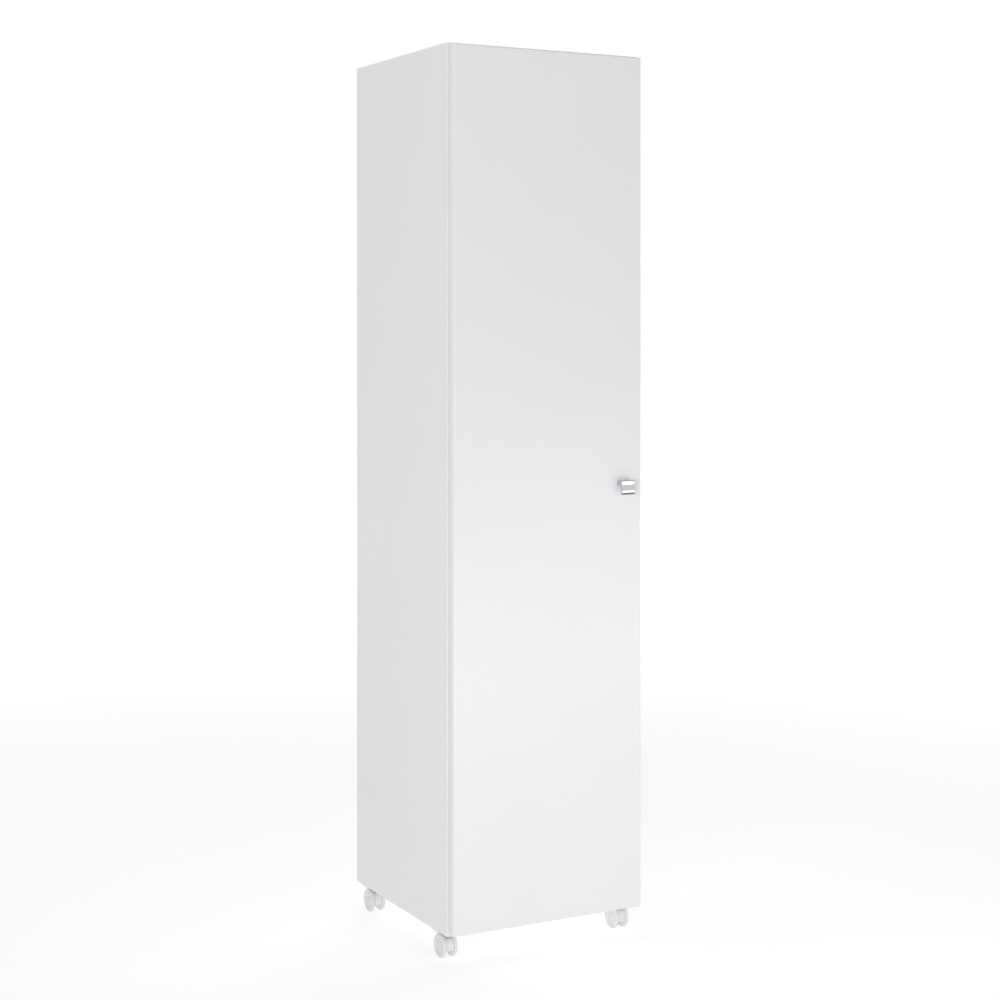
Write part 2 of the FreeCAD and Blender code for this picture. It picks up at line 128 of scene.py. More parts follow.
def white_melamine():
    material, tree, shader, place = new_material(
        "white_melamine", IOR=1.5, Coat_Weight=0.25, Coat_Roughness=0.28)
    tone = add_node(tree, "TexNoise", {"Vector": place, "Scale": 1 / TONE_PATCH, "Detail": 2.0})
    colour = add_node(tree, "Mix", {
        "Factor": tone.outputs["Fac"], "A": linear("#eeeef1"), "B": linear("#f2f2f4")}, data_type="RGBA")
    patch = add_node(tree, "TexNoise", {"Vector": place, "Scale": 1 / GLOSS_PATCH, "Detail": 3.0})
    gloss = add_node(tree, "MapRange", {"Value": patch.outputs["Fac"], "To Min": 0.30, "To Max": 0.40})
    pearl = add_node(tree, "TexNoise", {"Vector": place, "Scale": 1 / PEARL_SIZE, "Detail": 2.0})
    bump = add_node(tree, "Bump", {"Height": pearl.outputs["Fac"], "Strength": 0.05, "Distance": BUMP_DEPTH})
    tree.links.new(colour.outputs["Result"], shader.inputs["Base Color"])
    tree.links.new(gloss.outputs["Result"], shader.inputs["Roughness"])
    tree.links.new(bump.outputs["Normal"], shader.inputs["Normal"])
    return material


finishes = {"white_board": white_melamine()}
print("made", finishes["white_board"].name)

# %% [markdown]
# ## Lacquered hardboard
# The back is thin hardboard with a white lacquer on it. Fibres show through the lacquer as a fine, flat
# mottle, duller and a touch greyer than the melamine. A stretched noise gives the fibres their direction.

# %% Lacquered hardboard
FIBRE_WIDTH = 1.5 * MM
FIBRE_STRETCH = 0.25


def lacquered_hardboard():
    material, tree, shader, place = new_material("lacquered_hardboard", IOR=1.48)
    along = add_node(tree, "Mapping", {"Vector": place, "Scale": (1.0, 1.0, FIBRE_STRETCH)})
    fibre = add_node(tree, "TexNoise", {
        "Vector": along.outputs["Vector"], "Scale": 1 / FIBRE_WIDTH, "Detail": 4.0})
    colour = add_node(tree, "Mix", {
        "Factor": fibre.outputs["Fac"], "A": linear("#e4e4e5"), "B": linear("#eeeeef")}, data_type="RGBA")
    gloss = add_node(tree, "MapRange", {"Value": fibre.outputs["Fac"], "To Min": 0.45, "To Max": 0.6})
    bump = add_node(tree, "Bump", {"Height": fibre.outputs["Fac"], "Strength": 0.12, "Distance": BUMP_DEPTH})
    tree.links.new(colour.outputs["Result"], shader.inputs["Base Color"])
    tree.links.new(gloss.outputs["Result"], shader.inputs["Roughness"])
    tree.links.new(bump.outputs["Normal"], shader.inputs["Normal"])
    return material


finishes["white_hardboard"] = lacquered_hardboard()
print("made", finishes["white_hardboard"].name)

# %% [markdown]
# ## Moulded nylon
# Hoods and wheels of furniture casters are moulded in white nylon. The mould is finely blasted, so the
# skin is a soft semi-gloss with a little grain, and a hint of light goes into the plastic.

# %% White nylon
MOULD_GRAIN = 1.2 * MM
MOULD_FLOW = 14 * MM


def white_nylon():
    material, tree, shader, place = new_material(
        "white_nylon", IOR=1.53, Subsurface_Weight=0.08, Subsurface_Radius=(2 * MM, 2 * MM, 2 * MM),
        Subsurface_Scale=1.0)
    flow = add_node(tree, "TexNoise", {"Vector": place, "Scale": 1 / MOULD_FLOW, "Detail": 2.0})
    colour = add_node(tree, "Mix", {
        "Factor": flow.outputs["Fac"], "A": linear("#e3e3e5"), "B": linear("#e9e9eb")}, data_type="RGBA")
    gloss = add_node(tree, "MapRange", {"Value": flow.outputs["Fac"], "To Min": 0.28, "To Max": 0.4})
    grain = add_node(tree, "TexNoise", {"Vector": place, "Scale": 1 / MOULD_GRAIN, "Detail": 1.0})
    bump = add_node(tree, "Bump", {"Height": grain.outputs["Fac"], "Strength": 0.08, "Distance": BUMP_DEPTH})
    tree.links.new(colour.outputs["Result"], shader.inputs["Base Color"])
    tree.links.new(gloss.outputs["Result"], shader.inputs["Roughness"])
    tree.links.new(bump.outputs["Normal"], shader.inputs["Normal"])
    return material


finishes["white_plastic"] = white_nylon()
print("made", finishes["white_plastic"].name)

# %% [markdown]
# ## Chrome and zinc
# The pull is chrome-plated and polished, so it shows its surroundings almost like a mirror, with a thin
# haze from wiping. Hinges, plates and screws are steel with a bright zinc plating, which is bluer and
# duller, with faint drawing lines. The cam locks are die-cast zinc with a grainy, darker skin. All three
# share one recipe: a metal whose tone, gloss and bump follow one noise, stretched where it has lines.

# %% Plated and cast metals


def metal(name, dark, bright, grain, stretch, rough_low, rough_high, depth):
    material, tree, shader, place = new_material(name, Metallic=1.0)
    along = add_node(tree, "Mapping", {"Vector": place, "Scale": (stretch, stretch, 1.0)})
    lines = add_node(tree, "TexNoise", {"Vector": along.outputs["Vector"], "Scale": 1 / grain, "Detail": 3.0})
    colour = add_node(tree, "Mix", {
        "Factor": lines.outputs["Fac"], "A": linear(dark), "B": linear(bright)}, data_type="RGBA")
    gloss = add_node(tree, "MapRange", {
        "Value": lines.outputs["Fac"], "To Min": rough_low, "To Max": rough_high})
    bump = add_node(tree, "Bump", {"Height": lines.outputs["Fac"], "Strength": depth, "Distance": BUMP_DEPTH})
    tree.links.new(colour.outputs["Result"], shader.inputs["Base Color"])
    tree.links.new(gloss.outputs["Result"], shader.inputs["Roughness"])
    tree.links.new(bump.outputs["Normal"], shader.inputs["Normal"])
    return material


# Polished plating: a wiped haze a few millimetres wide, with no lines
finishes["chrome"] = metal(
    "polished_chrome", "#c2c4c6", "#cccecf", grain=4 * MM, stretch=1.0, rough_low=0.05, rough_high=0.12,
    depth=0.01)
# Pressed and plated strip: fine lines along the strip, just under a millimetre apart
finishes["zinc_plated_steel"] = metal(
    "zinc_plated_steel", "#c8cace", "#d9dbde", grain=0.8 * MM, stretch=0.15, rough_low=0.24, rough_high=0.38,
    depth=0.06)
# As cast: a coarse even grain
finishes["die_cast_zinc"] = metal(
    "die_cast_zinc", "#85888c", "#9da0a4", grain=0.9 * MM, stretch=1.0, rough_low=0.4, rough_high=0.55,
    depth=0.15)
print("made", [finishes[s].name for s in ("chrome", "zinc_plated_steel", "die_cast_zinc")])

# %% [markdown]
# ## Beech and soft plastic
# Two small finishes are left. The dowels are fluted beech, a warm wood with fine straight grain, made from
# a wave bent by noise. The door's bumpers are milky soft plastic, which lets a little light through.

# %% Beech and soft plastic
BEECH_GRAIN = 1.5 * MM
PLASTIC_CLOUD = 2 * MM


def fluted_beech():
    material, tree, shader, place = new_material("fluted_beech", IOR=1.5, Roughness=0.6)
    grain = add_node(tree, "TexWave", {
        "Vector": place, "Scale": 1 / (2 * math.pi * BEECH_GRAIN), "Distortion": 4.0, "Detail": 2.0})
    colour = add_node(tree, "Mix", {
        "Factor": grain.outputs["Fac"], "A": linear("#c79a6b"), "B": linear("#d9b184")}, data_type="RGBA")
    bump = add_node(tree, "Bump", {"Height": grain.outputs["Fac"], "Strength": 0.2, "Distance": BUMP_DEPTH})
    tree.links.new(colour.outputs["Result"], shader.inputs["Base Color"])
    tree.links.new(bump.outputs["Normal"], shader.inputs["Normal"])
    return material


def soft_plastic():
    material, tree, shader, place = new_material(
        "milky_soft_plastic", IOR=1.45, Subsurface_Weight=0.3, Subsurface_Radius=(MM, MM, MM),
        Subsurface_Scale=1.0)
    cloud = add_node(tree, "TexNoise", {"Vector": place, "Scale": 1 / PLASTIC_CLOUD, "Detail": 2.0})
    colour = add_node(tree, "Mix", {
        "Factor": cloud.outputs["Fac"], "A": linear("#d6d6d4"), "B": linear("#e4e4e2")}, data_type="RGBA")
    gloss = add_node(tree, "MapRange", {"Value": cloud.outputs["Fac"], "To Min": 0.4, "To Max": 0.55})
    tree.links.new(colour.outputs["Result"], shader.inputs["Base Color"])
    tree.links.new(gloss.outputs["Result"], shader.inputs["Roughness"])
    return material


finishes["beech"] = fluted_beech()
finishes["soft_bumper"] = soft_plastic()
print("finishes", sorted(finishes))

# %% [markdown]
# ## Finishes on the frame
# Each node of the frame already names a material slot. We only look up the finish for that slot and put it
# on the node, so the boards, hinges and plates that have the right shape are dressed in one pass.

# %% Dress the frame
slot_of = {row["node"]: row["material_slot"] for row in frame["record"]["subparts"]}
for node, thing in frame["nodes"].items():
    thing.data.materials.clear()
    thing.data.materials.append(finishes[slot_of[node]])
print("dressed", len(frame["nodes"]), "nodes")

# %% [markdown]
# ## From bmesh to finished piece
# Pieces are modelled in a bmesh and handed over once they are done. The helper welds and orients the mesh,
# smooths it between its sharp edges, gives it its finish, hangs it under the empty of the body it rides on,
# and hides the frame nodes that it stands for.

# %% Hand over a piece
SHARP_ANGLE = math.radians(32)
WELD = 0.001 * MM
body_of = {node: body for body, nodes in frame["record"]["behaviour"]["bodies"].items() for node in nodes}


def hand_over(name, bm, body, slot, *nodes):
    bmesh.ops.remove_doubles(bm, verts=bm.verts, dist=WELD)
    bmesh.ops.recalc_face_normals(bm, faces=bm.faces)
    for face in bm.faces:
        face.smooth = True
    mesh = bpy.data.meshes.new(name)
    bm.to_mesh(mesh)
    bm.free()
    mesh.set_sharp_from_angle(angle=SHARP_ANGLE)
    mesh.materials.append(finishes[slot])
    piece = bpy.data.objects.new(name, mesh)
    bpy.context.collection.objects.link(piece)
    weighted = piece.modifiers.new("face_weighted_normals", "WEIGHTED_NORMAL")
    weighted.keep_sharp = True
    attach(piece, body)
    if nodes:
        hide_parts(*nodes)
    return piece


print("sharp edges start at", round(math.degrees(SHARP_ANGLE)), "degrees")

# %% [markdown]
# ## Shapes that come back
# Most pieces are a block, a slab with a flat outline, or a section spun round an axis, with rounded edges.
# Each of these is one helper, so that a piece only has to say its sizes. A spun shape is welded and its faces
# are turned outwards at once, because the rounding reads the angle between faces.

# %% Blocks, slabs, spins and round edges


def round_edges(bm, edges, radius, segments):
    bmesh.ops.bevel(
        bm, geom=edges, offset=radius, offset_type="OFFSET", affect="EDGES", segments=segments,
        profile=0.5, material=-1, clamp_overlap=True)


def sharp_edges(bm, angle=SHARP_ANGLE):
    return [e for e in bm.edges if len(e.link_faces) == 2 and e.calc_face_angle() > angle]


def running(edges, axis):
    return [e for e in edges if abs(e.verts[1].co[axis] - e.verts[0].co[axis]) > WELD]


def add_block(bm, low, high):
    low, high = Vector(low), Vector(high)
    corners = bmesh.ops.create_cube(bm, size=1)["verts"]
    bmesh.ops.scale(bm, verts=corners, vec=high - low)
    bmesh.ops.translate(bm, verts=corners, vec=(low + high) / 2)
    return list({e for v in corners for e in v.link_edges})


def add_slab(bm, corners, offset):
    section = bm.faces.new([bm.verts.new(corner) for corner in corners])
    slab = bmesh.ops.extrude_face_region(bm, geom=[section])
    far_side = [v for v in slab["geom"] if isinstance(v, bmesh.types.BMVert)]
    bmesh.ops.translate(bm, verts=far_side, vec=offset)
    bmesh.ops.recalc_face_normals(bm, faces=bm.faces)


def spin_section(bm, points, middle, axis, steps, ring=False):
    section = [bm.verts.new(point) for point in points]
    ends = section[1:] + section[:1] if ring else section[1:]
    lines = [bm.edges.new(pair) for pair in zip(section, ends)]
    bmesh.ops.spin(
        bm, geom=section + lines, cent=middle, axis=axis, angle=2 * math.pi, steps=steps, use_merge=True)
    bmesh.ops.remove_doubles(bm, verts=bm.verts, dist=WELD)
    bmesh.ops.recalc_face_normals(bm, faces=bm.faces)


print("points closer than", WELD, "metres are welded")

# %% [markdown]
# ## Caster wheels
# A furniture caster runs on two moulded wheels with soft shoulders, a raised rim and a dished face round
# the hub. Stacking cylinders would leave hard steps, so we draw half of the wheel's section once, spin it
# round the axle, and round its edges with bevels. The frame's node gives the place and the outer size.

# %% Turn the wheels
WHEEL_STEPS = 72
RIM_WIDTH = 7 * MM
DISH_DEPTH = 1.2 * MM
DISH_SLOPE = 0.8 * MM
HUB_RADIUS = 8 * MM
AXLE_BORE = 3.05 * MM
HUB_CAP = 1.45 * MM
SHOULDER = 2.2 * MM
SHOULDER_SEGMENTS = 5
SOFT_EDGE = 0.35 * MM
SOFT_SEGMENTS = 2


def caster_wheel(node):
    low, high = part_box(node)
    middle = (low + high) / 2
    radius = (high.z - low.z) / 2
    width = high.x - low.x
    outward = -1 if node.endswith("left") else 1
    inner_x = high.x if outward < 0 else low.x
    bore_end = width - HUB_CAP
    dish = width - DISH_DEPTH
    outline = [
        (bore_end, 0), (bore_end, AXLE_BORE), (0, AXLE_BORE), (0, radius), (width, radius),
        (width, radius - RIM_WIDTH), (dish, radius - RIM_WIDTH - DISH_SLOPE), (dish, HUB_RADIUS + DISH_SLOPE),
        (width, HUB_RADIUS), (width, 0)]
    bm = bmesh.new()
    points = [(outward * along, 0, out) for along, out in outline]
    spin_section(bm, points, (0, 0, 0), (1, 0, 0), WHEEL_STEPS)
    at_tread = {v for v in bm.verts if math.hypot(v.co.y, v.co.z) > radius - WELD}
    round_edges(bm, [e for e in sharp_edges(bm) if at_tread.issuperset(e.verts)], SHOULDER, SHOULDER_SEGMENTS)
    on_face = [e for e in sharp_edges(bm) if all(abs(v.co.x) > dish - WELD for v in e.verts)]
    round_edges(bm, on_face, SOFT_EDGE, SOFT_SEGMENTS)
    bmesh.ops.translate(bm, verts=bm.verts, vec=(inner_x, middle.y, middle.z))
    return hand_over(node + "_turned", bm, body_of[node], "white_plastic", node)


wheel_nodes = sorted(node for node in frame["nodes"] if "_wheel_" in node)
wheels = [caster_wheel(node) for node in wheel_nodes]
print("turned", len(wheels), "wheels of", len(wheels[0].data.polygons), "faces")

# %% [markdown]
# ## Pull
# The pull is a short length of one drawn section: an arm from the door and a front plate with a flat band,
# a panel that leans out, a flat lip and a flared tip for the fingers. We draw the section as one face,
# extrude it over the pull's width, and bevel every crease, even the slight ones, so that each face stays flat
# up to its edge. A chromed edge is only seen by the light that runs along its rounding.

# %% Draw and extrude the pull
ARM_HEIGHT = 11 * MM
BAND = 8 * MM
PANEL = 12.5 * MM
PANEL_STEP = 1.6 * MM
LIP = 3.7 * MM
FLARE = 2 * MM
PLATE = 4.5 * MM
TIP = 0.8 * MM
NOSE = 1.8 * MM
NOSE_SEGMENTS = 20
PULL_EDGE = 0.3 * MM
PULL_EDGE_SEGMENTS = 3
PULL_CREASE = math.radians(5)


def door_pull(node):
    low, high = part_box(node)
    front_y = low.y + FLARE
    plate_y = front_y + PLATE
    band_z = high.z - BAND
    panel_z = band_z - PANEL
    arm_z = high.z - ARM_HEIGHT
    corners = [
        (high.y, high.z), (front_y, high.z), (front_y, band_z), (front_y + PANEL_STEP, band_z),
        (front_y, panel_z), (front_y, panel_z - LIP), (low.y, low.z + TIP), (low.y, low.z),
        (plate_y, low.z), (plate_y, arm_z), (high.y, arm_z)]
    bm = bmesh.new()
    add_slab(bm, [(low.x, y, z) for y, z in corners], (high.x - low.x, 0, 0))
    nose = Vector((front_y, high.z))
    at_nose = [e for e in running(bm.edges, 0) if (e.verts[0].co.yz - nose).length < WELD]
    round_edges(bm, at_nose, NOSE, NOSE_SEGMENTS)
    round_edges(bm, sharp_edges(bm, PULL_CREASE), PULL_EDGE, PULL_EDGE_SEGMENTS)
    return hand_over("door_pull", bm, "door", "chrome", node)


pull = door_pull("pull")
print("pull of", len(pull.data.polygons), "faces")

# %% [markdown]
# ## Concealed hinges
# A cup hinge is pressed from plated strip. A drawn cup with two screw ears sits in the door, an arm reaches
# into the cup and turns on a pin, and a plate shaped like a cross carries the arm on the cupboard's side.
# Pressed steel has no sharp edges, so each shape is drawn plainly first, and all its creases are then rounded
# at once. The frame's nodes give the places, and the sizes are those of a common 35 mm hinge.

# %% Finish pressed steel
PRESS_EDGE = 0.25 * MM
PRESS_SEGMENTS = 2


def press(node, bm):
    round_edges(bm, sharp_edges(bm), PRESS_EDGE, PRESS_SEGMENTS)
    return hand_over(node + "_pressed", bm, body_of[node], "zinc_plated_steel", node)


print("pressed edges are rounded by", PRESS_EDGE / MM, "mm")

# %% [markdown]
# ## Hinge plate and arm
# The plate is a rail with a wing across it, both with rounded ends. The arm is a bent strip, drawn from the
# side and extruded over its height, and the eye that holds the pin is a ring spun round the pin's axis.

# %% Press the plates and arms
HINGES = ("bottom", "middle", "top")
RAIL_HEIGHT = 16 * MM
RAIL_ROUND = 2.5 * MM
RAIL_SEGMENTS = 5
END_SEGMENTS = 6
WING_LENGTH = 12 * MM
WING_THICKNESS = 2 * MM
WING_ROUND = 5 * MM
ARM_STRIP = 2.5 * MM
ARM_ROUND = 4 * MM
BEND_ROUND = 2 * MM
ARM_NOSE = 2 * MM
EYE_RADIUS = 2.8 * MM
EYE_BORE = 1.55 * MM
EYE_STEPS = 32


def pressed_plate(node):
    low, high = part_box(node)
    middle = (low + high) / 2
    rail_low = (low.x, low.y, middle.z - RAIL_HEIGHT / 2)
    rail_high = (high.x, high.y, middle.z + RAIL_HEIGHT / 2)
    wing_low = (low.x, middle.y - WING_LENGTH / 2, low.z)
    wing_high = (low.x + WING_THICKNESS, middle.y + WING_LENGTH / 2, high.z)
    bm = bmesh.new()
    round_edges(bm, running(add_block(bm, rail_low, rail_high), 0), RAIL_ROUND, RAIL_SEGMENTS)
    round_edges(bm, running(add_block(bm, wing_low, wing_high), 0), WING_ROUND, END_SEGMENTS)
    return press(node, bm)


def pressed_arm(node):
    low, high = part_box(node)
    pin_x, pin_y = low.x + EYE_RADIUS, low.y + EYE_RADIUS
    nose_x = low.x + 2 * EYE_RADIUS - (EYE_RADIUS - EYE_BORE) / 2
    nose_low, nose_high = pin_y - ARM_NOSE / 2, pin_y + ARM_NOSE / 2
    inner_x = high.x - ARM_STRIP
    corners = [
        (nose_x, nose_low), (high.x, nose_low), (high.x, high.y), (inner_x, high.y), (inner_x, nose_high),
        (nose_x, nose_high)]
    bm = bmesh.new()
    add_slab(bm, [(x, y, low.z) for x, y in corners], (0, 0, high.z - low.z))
    upright = running(bm.edges, 2)
    bend = [e for e in upright if (e.verts[0].co.xy - Vector((high.x, nose_low))).length < WELD]
    round_edges(bm, bend, BEND_ROUND, END_SEGMENTS)
    far_end = [e for e in running(bm.edges, 0) if all(v.co.y > high.y - WELD for v in e.verts)]
    round_edges(bm, far_end, ARM_ROUND, END_SEGMENTS)
    outline = [(EYE_BORE, low.z), (EYE_RADIUS, low.z), (EYE_RADIUS, high.z), (EYE_BORE, high.z)]
    points = [(pin_x + out, pin_y, z) for out, z in outline]
    spin_section(bm, points, (pin_x, pin_y, 0), (0, 0, 1), EYE_STEPS, ring=True)
    return press(node, bm)


plates = [pressed_plate("hinge_plate_" + hinge) for hinge in HINGES]
arms = [pressed_arm("hinge_arm_" + hinge) for hinge in HINGES]
print("plates of", len(plates[0].data.polygons), "faces, arms of", len(arms[0].data.polygons))

# %% [markdown]
# ## Hinge cup
# The cup is drawn from one disc, so its wall, flange and floor are one spun section with a soft corner at
# the floor. The ears are cut with the flange's curve on one side, so they run out from under it, and two
# lugs hold the ends of the pin.

# %% Press the cups
CUP_STEPS = 64
CUP_RADIUS = 17.5 * MM
CUP_WALL = 1 * MM
CUP_DRAW = 1.5 * MM
CUP_DRAW_SEGMENTS = 4
FLANGE = 1.2 * MM
FLANGE_RIM = 1.5 * MM
EAR_THICKNESS = 1.15 * MM
EAR_ROUND = 5 * MM
# Corners of an ear in millimetres from the cup's middle
EAR_CORNERS = ((-2, 17.6), (4, 17.3), (9, 15.3), (14, 11), (14, 31), (-2, 31))
LUG_START = 6.3 * MM
LUG_END = 9.2 * MM


def pressed_cup(node, arm):
    low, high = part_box(node)
    back_y = high.y - FLANGE
    foot = Vector(((low.x + high.x) / 2, back_y, (low.z + high.z) / 2))
    inside = CUP_RADIUS - CUP_WALL
    rim = CUP_RADIUS + FLANGE_RIM
    outline = [
        (0, low.y + CUP_WALL), (inside, low.y + CUP_WALL), (inside, high.y), (rim, high.y), (rim, back_y),
        (CUP_RADIUS, back_y), (CUP_RADIUS, low.y), (0, low.y)]
    bm = bmesh.new()
    points = [(foot.x + out, y, foot.z) for out, y in outline]
    spin_section(bm, points, foot, (0, 1, 0), CUP_STEPS)
    at_floor = [e for e in sharp_edges(bm) if all(v.co.y < low.y + 2 * CUP_WALL for v in e.verts)]
    round_edges(bm, at_floor, CUP_DRAW, CUP_DRAW_SEGMENTS)
    eye_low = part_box(arm)[0]
    eye_high = eye_low + Vector((2 * EYE_RADIUS, 2 * EYE_RADIUS, 0))
    for side in (-1, 1):
        corners = [foot + Vector((x * MM, 0, side * z * MM)) for x, z in EAR_CORNERS]
        add_slab(bm, corners, (0, EAR_THICKNESS, 0))
        lug_low, lug_high = sorted((foot.z + side * LUG_START, foot.z + side * LUG_END))
        add_block(bm, (eye_low.x, low.y + CUP_WALL / 2, lug_low), (eye_high.x, eye_high.y, lug_high))
    outer = {v for v in bm.verts if v.co.z < low.z + WELD or v.co.z > high.z - WELD}
    ear_ends = [e for e in running(bm.edges, 1) if outer.issuperset(e.verts)]
    round_edges(bm, ear_ends, EAR_ROUND, END_SEGMENTS)
    return press(node, bm)


cups = [pressed_cup("hinge_cup_" + hinge, "hinge_arm_" + hinge) for hinge in HINGES]
print("cups of", len(cups[0].data.polygons), "faces")

# %% [markdown]
# ## Screws
# Hinges, casters and pull are held by pan-head screws with a cross recess. We spin one section of head,
# thread and point, close the top with a flat face, inset it, cut it with four planes and push the cross
# down with a taper. The thread is a row of ridges, because a true helix would never show. One screw of
# each size is made, and then set down at every seat that the frame gives.

# %% Make cross-head screws
SCREW_STEPS = 24
THREAD_PITCH = 1.2 * MM
THREAD_CORE = 0.72
CROWN = 0.62
# Outline of a head as shares of its radius and height
HEAD_SHARES = ((CROWN, 1.0), (0.86, 0.8), (1.0, 0.35), (1.0, 0.0))
RECESS_RIM = 0.08
RECESS_HALF_WIDTH = 0.13
RECESS_DEPTH = 0.6
RECESS_TAPER = 0.55


def cross_recess(bm, head_radius, head):
    top = bmesh.ops.edgeloop_fill(bm, edges=[e for e in bm.edges if e.is_boundary])["faces"]
    bmesh.ops.inset_individual(bm, faces=top, thickness=RECESS_RIM * head_radius)
    reach = (CROWN - RECESS_RIM) * head_radius + WELD
    half = RECESS_HALF_WIDTH * head_radius

    def inner_faces():
        on_top = [f for f in bm.faces if all(v.co.z > head - WELD for v in f.verts)]
        return [f for f in on_top if all(v.co.xy.length < reach for v in f.verts)]

    for across in (Vector((1, 0, 0)), Vector((0, 1, 0))):
        for side in (-half, half):
            cut = inner_faces()
            edges = list({e for f in cut for e in f.edges})
            verts = list({v for f in cut for v in f.verts})
            bmesh.ops.bisect_plane(
                bm, geom=cut + edges + verts, dist=WELD, plane_co=across * side, plane_no=across)
    middles = [(f, f.calc_center_median()) for f in inner_faces()]
    cross = [f for f, middle in middles if min(abs(middle.x), abs(middle.y)) < half]
    sunk = bmesh.ops.extrude_face_region(bm, geom=cross)
    floor_verts = [v for v in sunk["geom"] if isinstance(v, bmesh.types.BMVert)]
    bmesh.ops.translate(bm, verts=floor_verts, vec=(0, 0, -RECESS_DEPTH * head))
    bmesh.ops.scale(bm, verts=floor_verts, vec=(RECESS_TAPER, RECESS_TAPER, 1))


def cross_screw(thread, length, head_radius, head):
    core = THREAD_CORE * thread
    outline = [(out * head_radius, up * head) for out, up in HEAD_SHARES] + [(thread, 0)]
    for ridge in range(int(length / THREAD_PITCH) - 1):
        root = -(ridge + 0.5) * THREAD_PITCH
        outline += [(core, root), (thread, root - THREAD_PITCH / 2)]
    outline += [(core, thread - length), (0, -length)]
    bm = bmesh.new()
    spin_section(bm, [(out, 0, along) for out, along in outline], (0, 0, 0), (0, 0, 1), SCREW_STEPS)
    cross_recess(bm, head_radius, head)
    mesh = bpy.data.meshes.new("one_screw")
    bm.to_mesh(mesh)
    bm.free()
    return mesh


def set_screws(node, seats, into, *size):
    one = cross_screw(*size)
    turn = Vector(into).to_track_quat("-Z", "Y").to_matrix().to_4x4()
    bm = bmesh.new()
    for seat in seats:
        placed = len(bm.verts)
        bm.from_mesh(one)
        bm.verts.ensure_lookup_table()
        bmesh.ops.transform(bm, verts=bm.verts[placed:], matrix=Matrix.Translation(seat) @ turn)
    bpy.data.meshes.remove(one)
    piece = hand_over(node + "_cut", bm, body_of[node], "zinc_plated_steel", node)
    print(node, len(seats), "screws,", len(piece.data.polygons), "faces")
    return piece


print("one thread turn in", THREAD_PITCH / MM, "mm")

# %% [markdown]
# ## Screw seats
# Every seat follows from the box of the piece that the screw holds, so a screw can't drift off its hole.

# %% Set the screws
# Thread radius, length, head radius and head height
WOOD_SCREW = (1.7 * MM, 11 * MM, 3.2 * MM, 1.6 * MM)
CASTER_SCREW = (1.7 * MM, 13.5 * MM, 3.2 * MM, 1.6 * MM)
ARM_SCREW = (2 * MM, 6 * MM, 3.5 * MM, 1.5 * MM)
PULL_SCREW = (2 * MM, 27 * MM, 4 * MM, 2.4 * MM)
# How far each screw sits from the middle of the piece that it holds
CASTER_REACH = 14 * MM
PLATE_REACH = 16 * MM
ARM_REACH = 11 * MM
CUP_REACH = 24 * MM
PULL_REACH = 8 * MM
EAR_OFFSET = 6 * MM
BOTH_SIDES = (-1, 1)


def middle_of(node):
    low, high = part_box(node)
    return (low + high) / 2


caster_seats = []
for plate in sorted(node for node in frame["nodes"] if node.startswith("caster") and node.endswith("plate")):
    under = Vector((*middle_of(plate).xy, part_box(plate)[0].z))
    reaches = [Vector((x, y, 0)) * CASTER_REACH for x in BOTH_SIDES for y in BOTH_SIDES]
    caster_seats += [under + reach for reach in reaches]
set_screws("caster_screws", caster_seats, (0, 0, 1), *CASTER_SCREW)

plate_seats, arm_seats, cup_seats = [], [], []
for hinge in HINGES:
    plate = middle_of("hinge_plate_" + hinge)
    cup = middle_of("hinge_cup_" + hinge)
    wing_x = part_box("hinge_plate_" + hinge)[0].x + WING_THICKNESS
    arm_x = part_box("hinge_arm_" + hinge)[1].x
    ear_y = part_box("hinge_cup_" + hinge)[1].y
    plate_seats += [Vector((wing_x, plate.y, plate.z + side * PLATE_REACH)) for side in BOTH_SIDES]
    arm_seats += [Vector((arm_x, plate.y + side * ARM_REACH, plate.z)) for side in BOTH_SIDES]
    cup_seats += [Vector((cup.x + EAR_OFFSET, ear_y, cup.z + side * CUP_REACH)) for side in BOTH_SIDES]
set_screws("hinge_plate_screws", plate_seats, (-1, 0, 0), *WOOD_SCREW)
set_screws("hinge_arm_screws", arm_seats, (-1, 0, 0), *ARM_SCREW)
set_screws("hinge_cup_screws", cup_seats, (0, -1, 0), *WOOD_SCREW)

door_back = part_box("door_panel")[1].y
arm_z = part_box("pull")[1].z - ARM_HEIGHT / 2
pull_x = middle_of("pull").x
pull_seats = [Vector((pull_x + side * PULL_REACH, door_back, arm_z)) for side in BOTH_SIDES]
set_screws("pull_screws", pull_seats, (0, -1, 0), *PULL_SCREW)

# %% [markdown]
# ## Edge bands
# The raw front edges of the boards are closed with a thin plastic band, whose long corners are rounded
# after it is glued on. That rounding is what catches light down the cupboard's front corner. A band is a
# strip as wide as its board, so a block with bevelled front edges is all it takes.

# %% Band the front edges
EDGE_BAND = 0.8 * MM
BAND_ROUND = 0.7 * MM
BAND_SEGMENTS = 4


def edge_band(board):
    low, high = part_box(board)
    bm = bmesh.new()
    edges = add_block(bm, (low.x, low.y - EDGE_BAND, low.z), (high.x, low.y, high.z))
    front = [e for e in edges if all(v.co.y < low.y - EDGE_BAND / 2 for v in e.verts)]
    round_edges(bm, front, BAND_ROUND, BAND_SEGMENTS)
    return hand_over(board + "_edge_band", bm, "carcass", "white_board")


banded = ["left_side_panel", "right_side_panel", "top_panel", "bottom_panel", "top_shelf", "partition"]
banded += sorted(node for node in frame["nodes"] if node.startswith("small_shelf"))
bands = [edge_band(board) for board in banded]
print("banded", len(bands), "boards")

# %% [markdown]
# ## Bumpers
# Two soft bumpers on the door meet the banded edge of the right side. They are small domes, spun from a
# quarter of their section, and end just short of the band.

# %% Spin the bumpers
BUMPER_STEPS = 32
# Outline of a dome as shares of its radius and height, from the middle of its foot
DOME_SHARES = ((0, 0), (1, 0), (1, 0.35), (0.94, 0.62), (0.78, 0.83), (0.5, 0.96), (0, 1))


